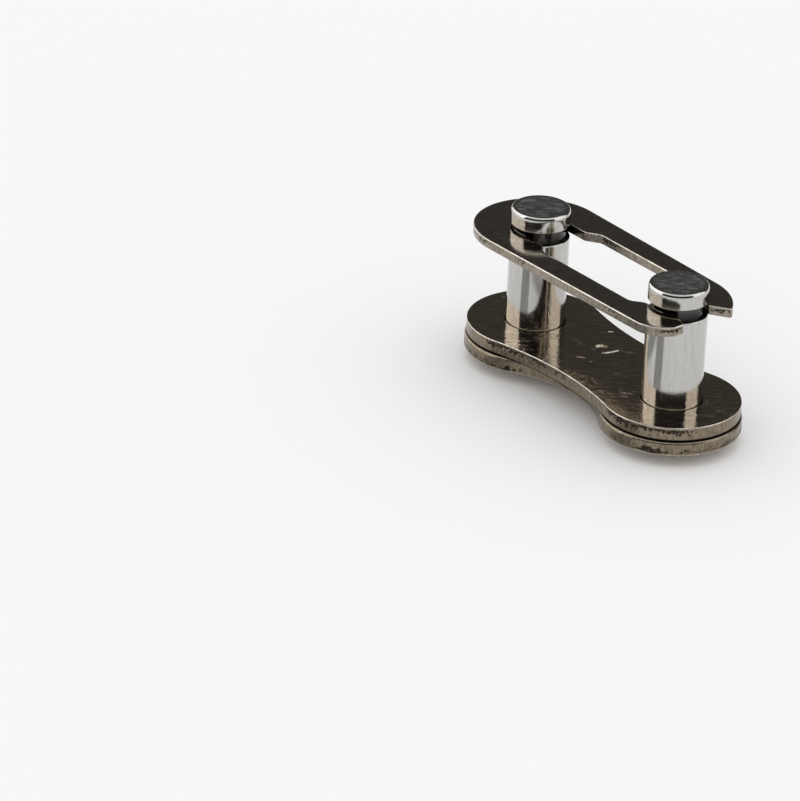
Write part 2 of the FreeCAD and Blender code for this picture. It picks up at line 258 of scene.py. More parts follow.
def pin_profile(sizes):
    """Half section of a pin from its foot to its top: straight runs joined by rounds, and a quarter
    ellipse at the head's top edge.

    Returns the radii, the heights, and how much painted shade each point gets in the groove.
    """
    r, core, lip = sizes.pin_radius, sizes.core_radius, sizes.groove_lip
    bevel, rounding, drop = sizes.rivet_bevel, sizes.head_rounding, sizes.head_edge_drop
    low = sizes.groove_floor
    high = low + sizes.groove_width
    foot_round, bevel_round, root_round = 0.03 * MM, 0.08 * MM, 0.06 * MM
    head_lip = 1.6 * lip
    foot = np.linspace(0, r - bevel - foot_round, 22)
    shaft = np.linspace(bevel + 0.05 * MM, low - 2 * lip, 30)
    turn = np.linspace(0, np.pi / 2, 16)
    top = np.linspace(r - rounding - 0.01 * MM, 0, 24)
    section = np.concatenate([
        np.stack([foot, np.zeros_like(foot)], axis=-1),
        fillet((0, 0), (r - bevel, 0), (r, bevel), foot_round, 4),
        fillet((r - bevel, 0), (r, bevel), (r, low), bevel_round, 5),
        np.stack([np.full_like(shaft, r), shaft], axis=-1),
        fillet((r, 0), (r, low), (core, low), lip, 5),
        fillet((r, low), (core, low), (core, high), root_round, 5),
        fillet((core, low), (core, high), (r, high), root_round, 5),
        fillet((core, high), (r, high), (r, PIN_TOP_Z), head_lip, 6),
        np.stack([r - rounding * (1 - np.cos(turn)), PIN_TOP_Z - drop * (1 - np.sin(turn))], axis=-1),
        np.stack([top, np.full_like(top, PIN_TOP_Z)], axis=-1),
    ])
    radius, height = section[:, 0], section[:, 1]
    # The painted shade is full in the groove's lower half and a little lighter above it.
    groove_shade = smooth_step(r - 0.02 * MM, r - 0.08 * MM, radius)
    inside = (height > low - 2 * lip) * (height < high + 2 * lip)
    less_shade_above = 0.14 * smooth_step(low + 0.36 * MM, low + 0.44 * MM, height)
    return radius, height, groove_shade * inside * (1 - less_shade_above)


PIN_SIDES = 192


def turned_pin(sizes, centre_x, seed):
    """A profile spun round the pin's axis: (r cos a, r sin a, z), with hammered facets on the foot.

    The facets raise the foot's points by up to 0.045 mm of noise in 0.7 mm cells, and a shallow dish
    lowers the head's top by up to 0.008 mm of noise in 0.9 mm cells. Both fade out towards the rims.
    """
    facet_cell, facet_height = 0.7 * MM, 0.045 * MM
    dish_cell, dish_depth = 0.9 * MM, 0.008 * MM
    radius, height, groove_shade = pin_profile(sizes)
    angle = np.linspace(0, 2 * np.pi, PIN_SIDES + 1)
    angle[-1] = 0
    r, a = np.meshgrid(radius, angle, indexing="ij")
    z = np.broadcast_to(height[:, None], r.shape).copy()
    points = np.stack([r * np.cos(a), r * np.sin(a), z], axis=-1)
    inner = smooth_step(sizes.pin_radius - 0.05 * MM, sizes.pin_radius - 0.5 * MM, r)
    on_foot, on_top = inner * (z < ON_LEVEL), inner * (z > PIN_TOP_Z - ON_LEVEL)
    facets = np.abs(value_noise(points, facet_cell, seed) - 0.5) * 2
    dish = value_noise(points, dish_cell, seed + 5)
    points[..., 2] += on_foot * facets * facet_height - on_top * dish * dish_depth
    points[..., 0] += centre_x
    return points, {"painted_shade": groove_shade[:, None], "scuff": on_top}


class CONNECTING_LINK_OT_pins(bpy.types.Operator):
    """Make the two turned and polished pins"""

    bl_idname = "connecting_link.pins"
    bl_label = "Pins"

    def execute(self, context):
        sizes = context.scene.link_sizes
        material = polished_pin_steel(context.scene.link_colours)
        for node, side, seed in (("closed_end_pin", -1, 11), ("open_end_pin", 1, 29)):
            grid = turned_pin(sizes, side * sizes.pitch / 2, seed)
            add_mesh_piece(f"{node}_turned", [grid], material, "riveted_half", node)
        return {"FINISHED"}


def plate_half_outline(sizes, end_radius, waist_depth, spacing):
    """Right half of a plate's outline, from the lower end of its middle line round to the upper end.

    The round end is a circle about the pin. Each waist is the circle that touches it and passes
    waist_depth inside it at the middle: its radius is (h^2 - 2 R d + d^2) / 2d for half pitch h.
    """
    half = sizes.pitch / 2
    waist = (half ** 2 - 2 * end_radius * waist_depth + waist_depth ** 2) / (2 * waist_depth)
    waist_y = end_radius - waist_depth + waist
    touch = math.atan2(waist_y, half)
    end_steps, waist_steps = 1200, 500
    ends = arc_points((half, 0), end_radius, touch - np.pi, np.pi - touch, end_steps)
    upper = arc_points((0, waist_y), waist, -touch, -np.pi / 2, waist_steps)
    lower = upper[::-1] * (1, -1)
    outline = resample(np.concatenate([lower, ends[1:-1], upper]), spacing)
    outline[0, 0] = outline[-1, 0] = 0
    normals = path_normals(outline)
    normals[0] = (0, -1)
    normals[-1] = (0, 1)
    return outline, normals


def edge_profile(thickness, rim, roll):
    """Section of a blanked edge from its rim to its rolled side: (inset, depth, rim share, roll share).

    A quarter round of the rim, a straight wall, and a quarter round of the roll. The rim's share fades
    out between 0.6 and 1.6 times the rim's own depth.
    """
    rim_steps, wall_steps, roll_steps = 4, 19, 7
    angle = np.linspace(0, np.pi / 2, rim_steps)
    rim_rows = np.stack([rim * (1 - np.sin(angle)), rim * (1 - np.cos(angle))], axis=-1)
    wall = np.linspace(rim, thickness - roll, wall_steps)[1:-1]
    wall_rows = np.stack([np.zeros_like(wall), wall], axis=-1)
    angle = np.linspace(0, np.pi / 2, roll_steps)
    roll_rows = np.stack([roll * (1 - np.cos(angle)), thickness - roll * (1 - np.sin(angle))], axis=-1)
    rows = np.concatenate([rim_rows, wall_rows, roll_rows])
    rolled = np.concatenate([np.zeros(len(rim_rows) + len(wall_rows)), angle / (np.pi / 2)])
    return rows[:, 0], rows[:, 1], smooth_step(rim * 1.6, rim * 0.6, rows[:, 1]), rolled


def torn_share(points, depth, reach, spots, seed):
    """How far each point of a blanked edge is torn, from 0 to 1.

    The torn zone starts 0.05 to 0.17 mm under the edge and ends at a jagged border, which noise in cells
    of 0.12 and 0.4 mm sets at up to 1.3 times the reach. Along the edge noise in 1.6 mm cells brings it
    in by up to 0.45, and it is full at the spots, each with its x, y and radius in mm, and fades round
    them as exp(-(d / radius)^4).
    """
    along = points * (1, 1, 0)
    jag = 0.65 * value_noise(along, 0.12 * MM, seed) + 0.35 * value_noise(along, 0.4 * MM, seed + 2)
    border = 1.3 * reach * jag
    start = (0.05 + 0.12 * value_noise(along, 0.35 * MM, seed + 3)) * MM
    share = 0.45 * smooth_step(0.5, 0.8, value_noise(along, 1.6 * MM, seed + 1))
    for x, y, radius in spots:
        distance = np.hypot(points[..., 0] / MM - x, points[..., 1] / MM - y) / radius
        share = np.maximum(share, np.exp(-distance ** 4))
    return share * smooth_step(start, start + 0.04 * MM, depth) * smooth_step(border, border * 0.8, depth)


def plate_grids(sizes, floor, top, end_radius, waist_depth, hole_radius, torn_side, spots, seed):
    """The surfaces of a plate: two faces ruled from each hole's edge to the outline, and the walls.

    Each half is worked out on the right and mirrored in the middle line. torn_side is 1 where the edge
    is torn under the top face and -1 where it is torn over the bottom face. The torn zone is pushed in
    by up to 0.03 mm, and the rolled edge gets painted shade where it meets the other plate.
    """
    spacing, hole_bevel, hole_round = 0.075 * MM, 0.035 * MM, 0.01 * MM
    tear_inset, tear_reach = 0.03 * MM, 0.55 * MM
    seen_rows, hidden_rows, middle_steps, crowding = 60, 12, 101, 1.3
    outline, normals = plate_half_outline(sizes, end_radius, waist_depth, spacing)
    inset, depth, rim, rolled = edge_profile(top - floor, sizes.plate_rim, sizes.plate_roll)
    height = top - depth if torn_side > 0 else floor + depth
    # Painted shade on the rolled edge, in the gap where the plates meet.
    painted_shade_from = 0.05 if torn_side > 0 else 0.55
    painted_shade = smooth_step(painted_shade_from, painted_shade_from + 0.15, rolled)
    if torn_side < 0:
        inset, height, depth, rim, painted_shade = (row[::-1] for row in (inset, height, depth, rim, painted_shade))
    middle_y = np.linspace(outline[-1, 1], outline[0, 1], middle_steps)[1:-1]
    middle = np.stack([np.zeros_like(middle_y), middle_y], axis=-1)
    half = sizes.pitch / 2
    around = np.concatenate([outline, middle, outline[:1]]) - (half, 0)
    hole_edge = around / np.linalg.norm(around, axis=-1, keepdims=True)
    throat, lip, inner = ((hole_edge * (hole_radius + wider) + (half, 0))[None]
                          for wider in (0.0, hole_round, hole_bevel))
    grids = []
    for side in (1, -1):
        wall_xy = outline[None] - normals[None] * inset[:, None, None]
        wall = sheet_grid(wall_xy, height[:, None])
        wall[..., 0] *= side
        torn = torn_share(wall, depth[:, None], tear_reach, spots, seed)
        wall[..., :2] -= (normals * (side, 1))[None] * torn[..., None] * tear_inset
        if side > 0:
            wall, torn = wall[:, ::-1], torn[:, ::-1]
        grids.append((wall, {
            "fracture": torn, "rim": rim[:, None], "wall": 1.0 - painted_shade[:, None], "painted_shade": painted_shade[:, None],
        }))
        for face, z, edge in ((1, top, wall_xy[0]), (-1, floor, wall_xy[-1])):
            centre_line = middle * (edge[-1, 1] / outline[-1, 1])
            ring = np.concatenate([edge, centre_line, edge[:1]])
            rows = seen_rows if face == torn_side else hidden_rows
            outward = (1 - (1 - np.linspace(0, 1, rows)) ** crowding)[:, None, None]
            grid = np.concatenate([
                sheet_grid(throat, (floor + top) / 2),
                sheet_grid(throat, z - face * hole_bevel),
                sheet_grid(lip, z - face * hole_round),
                sheet_grid(inner * (1 - outward) + ring[None] * outward, z),
            ])
            grid[..., 0] *= side
            if face == side:
                grid = grid[:, ::-1]
            grids.append((grid, {}))
    return grids


def press_marks(grids, top, marks):
    """Sink dents into a face: each mark lowers it by depth exp(-(d / width)^2), where d is the distance
    to the mark's line, throws up a burr of a fifth of that 1.7 widths away, and is worn bright, with a
    painted highlight laid over the wear."""
    burr, burr_place, burr_spread = 0.2, 1.7, 0.3
    for points, shares in grids:
        flat = np.abs(points[..., 2] - top) < ON_LEVEL
        worn_and_highlight = np.zeros(points.shape[:2])
        for line, width, depth in marks:
            distance = np.full(points.shape[:2], np.inf)
            for first, last in zip(line, line[1:]):
                start, run = np.array(first) * MM, (np.array(last) - first) * MM
                away = points[..., :2] - start
                along = np.clip(away @ run / (run @ run), 0, 1)
                gap = np.linalg.norm(away - along[..., None] * run, axis=-1) / (width * MM)
                distance = np.minimum(distance, gap)
            sunk = np.exp(-distance ** 2)
            raised = burr * np.exp(-(distance - burr_place) ** 2 / burr_spread)
            points[..., 2] -= np.where(flat, (sunk - raised) * depth * MM, 0)
            worn_and_highlight = np.maximum(worn_and_highlight, np.where(flat, sunk, 0))
        # The dents are worn bright and also carry a painted highlight through the rim share.
        if worn_and_highlight.any():
            shares["rim"] = np.maximum(worn_and_highlight, shares.get("rim", 0.0))
    return grids


# Dents of the loose plate's face: each mark's line, its width and its depth in mm.
LOOSE_PLATE_MARKS = (
    (((-1.13, 0.24), (-1.28, 0.69), (-1.25, 0.98), (-0.97, 1.05)), 0.12, 0.085),
    (((-0.40, 0.36), (-0.30, 0.55), (-0.20, 0.90), (-0.14, 1.35)), 0.09, 0.042),
    (((-0.27, 1.54), (0.22, 1.62), (0.64, 2.00)), 0.09, 0.022),
    (((-2.47, 2.53), (-2.33, 2.73)), 0.08, 0.028),
    (((-0.86, -1.28), (-0.53, -0.98)), 0.08, 0.028),
    (((0.06, -1.04), (0.16, -0.89)), 0.07, 0.014),
    (((-2.84, 0.19), (-2.04, 0.15)), 0.13, 0.014),
)

# Where the blanked edges are torn most: x, y and radius in mm.
LOOSE_PLATE_TEARS = (
    (9.0, -3.1, 2.0), (6.2, -4.1, 1.3), (-4.4, -3.7, 1.6), (-2.0, -3.5, 1.0), (7.4, 4.0, 1.8),
)
PIN_PLATE_TEARS = ((8.7, -3.5, 1.2), (-4.6, -3.8, 1.2), (-7.5, 4.0, 1.6))
CLIP_TEARS = ((8.9, -2.6, 0.7), (8.3, 1.6, 0.6), (-2.7, 2.0, 0.5), (-2.0, 2.2, 0.3))


class CONNECTING_LINK_OT_plates(bpy.types.Operator):
    """Make the two blanked, waisted plates"""

    bl_idname = "connecting_link.plates"
    bl_label = "Plates"

    def execute(self, context):
        sizes, colours = context.scene.link_sizes, context.scene.link_colours
        material = tumbled_nickel("tumbled_nickel_on_blanked_steel", colours.nickel, colours,
                                  roughness=0.1, shear=0.52, knocks=0.015 * MM)
        lower = plate_grids(sizes, *PIN_PLATE_Z, sizes.pin_plate_end, sizes.pin_plate_waist,
                            sizes.pin_radius, -1, PIN_PLATE_TEARS, 3)
        add_mesh_piece("pin_plate_blanked", lower, material, "riveted_half", "pin_plate")
        upper = plate_grids(sizes, *LOOSE_PLATE_Z, sizes.loose_plate_end, sizes.loose_plate_waist,
                            sizes.pin_radius + sizes.hole_play, 1, LOOSE_PLATE_TEARS, 7)
        press_marks(upper, LOOSE_PLATE_Z[1], LOOSE_PLATE_MARKS)
        add_mesh_piece("loose_plate_blanked", upper, material, "loose_plate", "loose_plate")
        return {"FINISHED"}


# The clip's legs aren't alike. For the one above the X axis and the one below it: the taper in degrees,
# and in mm the radius of the tip's outer round, its start and the tip's end beyond the open pin, and the
# inner corner's distance from the X axis.
CLIP_LEGS = {1: (1.39, 4.25, -0.75, 2.45, 1.93), -1: (0.61, 2.1, 0.65, 2.60, 1.75)}


def clip_leg_edges(sizes, side):
    """Inner and outer edge of one of the clip's legs, from the closed end's middle to the tip.

    The inner edge is a slot round the closed pin, a step, the wide slot, the throat, the seat round
    the open pin and the lead-in; rounds join them. The outer edge is the bow, the leg and the tip's
    round. Both have as many points, paired across the strip, and both are worked out above the X axis.
    """
    closed, opened = -sizes.pitch / 2, sizes.pitch / 2
    degrees, tip_radius, round_start, tip_reach, corner = CLIP_LEGS[side]
    taper, lip_angle = math.radians(degrees), math.radians(41.0)
    slot, wide, seat, throat = sizes.clip_slot, sizes.clip_wide_slot, sizes.clip_seat, sizes.clip_throat
    bow, centre = sizes.clip_bow, closed - sizes.clip_bow_offset
    lip_round, slope_round, corner_round = 0.18 * MM, 0.7 * MM, 0.06 * MM
    leg_spacing, tip_spacing, bow_steps = 0.06 * MM, 0.03 * MM, 100
    slot_end = closed + 2.25 * MM
    wide_start = slot_end + 0.8 * MM
    throat_start = opened - 1.0 * MM
    wide_end = throat_start - 0.7 * MM
    bow_tangent = np.array([centre + bow * math.sin(taper), bow * math.cos(taper)])
    round_x, tip_radius = opened + round_start * MM, tip_radius * MM
    round_centre = np.array([
        round_x - tip_radius * math.sin(taper),
        bow_tangent[1] - (round_x - bow_tangent[0]) * math.tan(taper) - tip_radius * math.cos(taper),
    ])
    tip_start = 0.85
    tip_from, tip_to = (math.acos((opened + reach * MM - round_centre[0]) / tip_radius)
                        for reach in (tip_start, tip_reach))
    tip_inner = np.array([opened + tip_reach * MM, corner * MM])
    lip = np.array([opened + seat * math.cos(lip_angle), seat * math.sin(lip_angle)])

    # The round between throat and seat touches the level edge from above and the seat from outside.
    rise = throat + lip_round
    throat_centre = (opened - math.sqrt((seat + lip_round) ** 2 - rise ** 2), rise)
    back = math.atan2(rise, throat_centre[0] - opened)
    # The round at the lip touches the seat from outside and the lead-in from above.
    lead = (tip_inner - lip) / np.linalg.norm(tip_inner - lip)
    above = np.array([-lead[1], lead[0]])
    offset = lip + above * lip_round - (opened, 0)
    reach = (seat + lip_round) ** 2 - offset @ offset + (offset @ lead) ** 2
    lip_centre = offset + lead * (math.sqrt(reach) - offset @ lead)
    front = math.atan2(lip_centre[1], lip_centre[0])
    lip_centre = lip_centre + (opened, 0)

    level = [(closed, slot), (slot_end, slot), (wide_start, wide), (wide_end, wide),
             (throat_start, throat), (throat_centre[0], throat)]
    rounds = [fillet(*level[i - 1:i + 2], slope_round, 24) for i in range(1, 5)]
    below = math.atan2(-above[1], -above[0])
    inner_leg = resample(np.concatenate([
        [level[0]], *rounds,
        arc_points(throat_centre, lip_round, -np.pi / 2, back - np.pi, 10),
        arc_points((opened, 0), seat, back, front, 60),
        arc_points(lip_centre, lip_round, front - np.pi, below, 12),
    ]), leg_spacing)
    outer_end = arc_points(round_centre, tip_radius, tip_to, tip_to, 1)[0]
    inner_tip = resample(np.concatenate([
        inner_leg[-1:], fillet(lip, tip_inner, outer_end, corner_round, 8),
    ]), tip_spacing)
    outer_tip = arc_points(round_centre, tip_radius, tip_from, tip_to, len(inner_tip))
    # Up to this x the two edges' points keep pace, and past it the outer ones fall behind.
    level_x = opened - 1.4 * MM
    x = np.interp(inner_leg[:, 0], [closed, level_x, inner_leg[-1, 0]],
                  [bow_tangent[0], level_x, outer_tip[0, 0]])
    straight = bow_tangent[1] - (x - bow_tangent[0]) * math.tan(taper)
    rounded = round_centre[1] + np.sqrt(np.maximum(tip_radius ** 2 - (x - round_centre[0]) ** 2, 0))
    outer_leg = np.stack([x, np.where(x < round_x, straight, rounded)], axis=-1)
    inner_bow = arc_points((closed, 0), slot, np.pi, np.pi / 2, bow_steps)
    outer_bow = arc_points((centre, 0), bow, np.pi, np.pi / 2 - taper, bow_steps)
    inner_bow[0, 1] = outer_bow[0, 1] = 0
    inner = np.concatenate([inner_bow, inner_leg[1:], inner_tip[1:]])
    outer = np.concatenate([outer_bow, outer_leg[1:], outer_tip[1:]])
    return inner, outer


def clip_grids(sizes, floor, seed):
    """The surfaces of the clip: two faces ruled across the strip, and a blanked edge all round.

    The leg below the X axis is worked out above it and mirrored. Its tip is broken at the end: noise
    in 0.22 mm cells takes up to 0.08 mm off it.
    """
    break_from, break_to, break_cell, break_depth = 8.6 * MM, 8.9 * MM, 0.22 * MM, 0.08 * MM
    grids = [grid for side in (1, -1) for grid in clip_leg_grids(sizes, side, floor, seed)]
    for points, _ in grids:
        broken = smooth_step(break_from, break_to, points[..., 0]) * (points[..., 1] < 0)
        points[..., 0] -= broken * value_noise(points * (0, 1, 0.5), break_cell, seed + 9) * break_depth
    return grids


def clip_leg_grids(sizes, side, floor, seed):
    """The two faces and the edge of one leg, whose torn zone is pushed in by up to 0.02 mm."""
    thickness, tear_inset, tear_reach, strip_steps = sizes.clip_thickness, 0.02 * MM, 0.45 * MM, 13
    across = np.linspace(0, 1, strip_steps)
    inset, depth, rim, _ = edge_profile(thickness, sizes.clip_edge, sizes.clip_edge)
    height = floor + thickness - depth
    inner, outer = clip_leg_edges(sizes, side)
    nose = inner[-1] * (1 - across[1:-1, None]) + outer[-1] * across[1:-1, None]
    edge = np.concatenate([inner, nose, outer[::-1]])
    normals = path_normals(edge)
    normals[0], normals[-1] = (1, 0), (-1, 0)
    normals[len(inner) - 1:len(inner) + len(nose) + 1] = (1, 0)
    wall_xy = edge[None] - normals[None] * inset[:, None, None]
    wall = sheet_grid(wall_xy, height[:, None])
    wall[..., 1] *= side
    torn = torn_share(wall, depth[:, None], tear_reach, CLIP_TEARS, seed)
    wall[..., :2] -= (normals * (1, side))[None] * torn[..., None] * tear_inset
    if side > 0:
        wall, torn = wall[:, ::-1], torn[:, ::-1]
    grids = [(wall, {"fracture": torn, "rim": rim[:, None], "wall": 1.0})]
    for row, z, up in ((wall_xy[0], floor + thickness, 1), (wall_xy[-1], floor, -1)):
        near, far = row[:len(inner)], row[::-1][:len(inner)]
        xy = near[:, None] * (1 - across[None, :, None]) + far[:, None] * across[None, :, None]
        face = sheet_grid(xy, z)
        face[..., 1] *= side
        if up * side > 0:
            face = face[:, ::-1]
        grids.append((face, {}))
    return grids


# Nicks on the clip's face near its closed end.
CLIP_MARKS = (
    (((-6.95, -2.92), (-6.72, -2.76)), 0.08, 0.018),
    (((-6.35, -3.14), (-6.10, -2.98)), 0.08, 0.018),
)


class CONNECTING_LINK_OT_clip(bpy.types.Operator):
    """Make the flat spring clip with its stepped slot and snap jaws"""

    bl_idname = "connecting_link.clip"
    bl_label = "Spring clip"

    def execute(self, context):
        sizes, colours = context.scene.link_sizes, context.scene.link_colours
        material = tumbled_nickel("tumbled_nickel_on_spring_steel", colours.clip_nickel, colours,
                                  roughness=0.08, shear=0.7, knocks=0.003 * MM)
        grids = clip_grids(sizes, sizes.groove_floor, 17)
        press_marks(grids, sizes.groove_floor + sizes.clip_thickness, CLIP_MARKS)
        add_mesh_piece("spring_clip_blanked", grids, material, "spring_clip", "spring_clip")
        return {"FINISHED"}


def add_node(tree, kind, settings=None, inputs=None):
    """Add a node and give it its settings; an input is linked if it gets a socket, and set otherwise."""
    node = tree.nodes.new(kind)
    for key, value in (settings or {}).items():
        setattr(node, key, value)
    for key, value in (inputs or {}).items():
        if isinstance(value, bpy.types.NodeSocket):
            tree.links.new(value, node.inputs[key])
        else:
            node.inputs[key].default_value = value
    return node


def new_material(name):
    """An empty node material with its output."""
    material = bpy.data.materials.new(name)
    material.use_nodes = True
    tree = material.node_tree
    tree.nodes.clear()
    return material, tree, add_node(tree, "ShaderNodeOutputMaterial")


def per(millimetres):
    """The scale of a pattern whose cells are that many millimetres across, in metre coordinates."""
    return 1000.0 / millimetres


# The rolling and wiping streaks run at this angle to the pitch.
STREAKS_AT = math.radians(51)


def tumbled_nickel(name, face_colour, colours, roughness, shear, knocks):
    """Nickel-plated steel, blanked and then tumbled.

    Tumbling leaves a fine pebbled grain and a scatter of small dents and crinkles, so the dark mirror
    of the face breaks up into mottles and short bright streaks; blanking leaves dark torn metal under
    a rim that is worn bright and carries a painted highlight, and faint shear lines across the edges.
    Painted shade darkens the rolled edges where the plates meet.
    shear is how bright the sheared edges are beside the face, and knocks the dents' depth in metres.
    """
    material, tree, output = new_material(name)
    # The real grain and shear lines are a few hundredths of a millimetre wide, too fine to show, and
    # are drawn 0.12 to 0.13 mm wide.
    place = add_node(tree, "ShaderNodeTexCoord").outputs["Object"]
    striped = add_node(tree, "ShaderNodeMapping", inputs={
        "Vector": place, "Scale": (per(0.12), per(0.12), per(0.45))}).outputs["Vector"]
    rolled = add_node(tree, "ShaderNodeMapping", {"vector_type": "TEXTURE"}, {
        "Vector": place, "Rotation": (0, 0, STREAKS_AT), "Scale": (1.3 * MM, 0.11 * MM, 0.4 * MM),
    }).outputs["Vector"]
    grain, crinkle, tumbled, tarnish, stripes, strip = (
        add_node(tree, "ShaderNodeTexNoise", inputs={
            "Vector": vector, "Scale": scale, "Detail": detail, "Roughness": harshness, "Distortion": swirl,
        }).outputs["Fac"]
        for vector, scale, detail, harshness, swirl in (
            (place, per(0.13), 4.0, 0.6, 0.0),
            (place, per(0.8), 3.0, 0.5, 2.2),
            (place, per(2.6), 2.0, 0.5, 0.0),
            (place, per(0.5), 6.0, 0.68, 0.7),
            (striped, 1.0, 4.0, 0.65, 0.0),
            (rolled, 1.0, 4.0, 0.62, 0.0),
        ))
    torn, rim, wall, painted_shade = (
        add_node(tree, "ShaderNodeAttribute", {"attribute_name": key}).outputs["Fac"]
        for key in ("fracture", "rim", "wall", "painted_shade"))
    blotched, grained = (
        add_node(tree, "ShaderNodeMix", inputs={0: 0.5, 2: strip, 3: other}).outputs[0]
        for other in (tarnish, grain))

    # Each noise is stretched from a narrow band of its values to the share that it is used for.
    blotch, sheared, specks, rim_wear_and_highlight, polish, bumpy, dent = (
        add_node(tree, "ShaderNodeMapRange", {"interpolation_type": curve}, {
            "Value": value, "From Min": low, "From Max": high, "To Min": first, "To Max": last,
        }).outputs[0]
        for value, low, high, first, last, curve in (
            (blotched, 0.42, 0.6, 0.0, 1.0, "LINEAR"),
            (stripes, 0.36, 0.6, 0.0, 1.0, "LINEAR"),
            (grain, 0.4, 0.58, 0.2, 1.3, "LINEAR"),
            (tarnish, 0.35, 0.65, 0.35, 0.95, "LINEAR"),
            (grained, 0.4, 0.62, roughness * 0.7, roughness * 1.6, "LINEAR"),
            (tumbled, 0.46, 0.64, 0.15, 1.0, "SMOOTHERSTEP"),
            (crinkle, 0.42, 0.78, 0.0, 1.0, "SMOOTHERSTEP"),
        ))
    # bright is the rims' and dents' share of wear mixed with painted highlight.
    speckled, bright, knocked = (
        add_node(tree, "ShaderNodeMath", {"operation": "MULTIPLY"}, {0: first, 1: second}).outputs[0]
        for first, second in ((torn, specks), (rim, rim_wear_and_highlight), (bumpy, dent)))
    broken = add_node(tree, "ShaderNodeMapRange", inputs={
        "Value": speckled, "From Min": 0.15, "From Max": 0.5, "To Min": 0.0, "To Max": 0.94}).outputs[0]

    # The dull and the bright tone of the face and of the sheared edge.
    face, edge = (
        add_node(tree, "ShaderNodeMix", {"data_type": "RGBA"}, {
            0: share,
            6: (*(min(c * dull, 1.0) for c in face_colour), 1.0),
            7: (*(min(c * shine, 1.0) for c in face_colour), 1.0),
        }).outputs[2]
        for share, dull, shine in ((blotch, 0.78, 1.14), (sheared, shear * 0.62, shear * 1.15)))
    # Over the face tone go the sheared edge, the torn metal, the rims' and dents' wear with its painted
    # highlight, and painted shade where the plates meet.
    base = face
    for share, coat in (
        (wall, edge),
        (broken, (*colours.fracture, 1.0)),
        (bright, (*colours.worn_and_highlight, 1.0)),
        (painted_shade, (*colours.painted_shade, 1.0)),
    ):
        base = add_node(tree, "ShaderNodeMix", {"data_type": "RGBA"}, {
            0: share, 6: base, 7: coat}).outputs[2]
    rough = polish
    for share, rougher in ((painted_shade, 0.4), (wall, 0.14), (broken, 0.25)):
        rough = add_node(tree, "ShaderNodeMath", {"operation": "MULTIPLY_ADD"}, {
            0: share, 1: rougher, 2: rough}).outputs[0]

    # A grain of two microns, dents where the face was knocked, and shear lines of six microns.
    fine = add_node(tree, "ShaderNodeBump", inputs={
        "Height": grain, "Strength": 1.0, "Distance": 0.002 * MM}).outputs["Normal"]
    dented = add_node(tree, "ShaderNodeBump", inputs={
        "Height": knocked, "Strength": 1.0, "Distance": knocks, "Normal": fine}).outputs["Normal"]
    lined = add_node(tree, "ShaderNodeBump", inputs={
        "Height": stripes, "Strength": wall, "Distance": 0.006 * MM, "Normal": dented}).outputs["Normal"]
    shader = add_node(tree, "ShaderNodeBsdfPrincipled", inputs={
        "Base Color": base, "Metallic": 1.0, "Roughness": rough, "Normal": lined})
    tree.links.new(shader.outputs[0], output.inputs["Surface"])
    return material


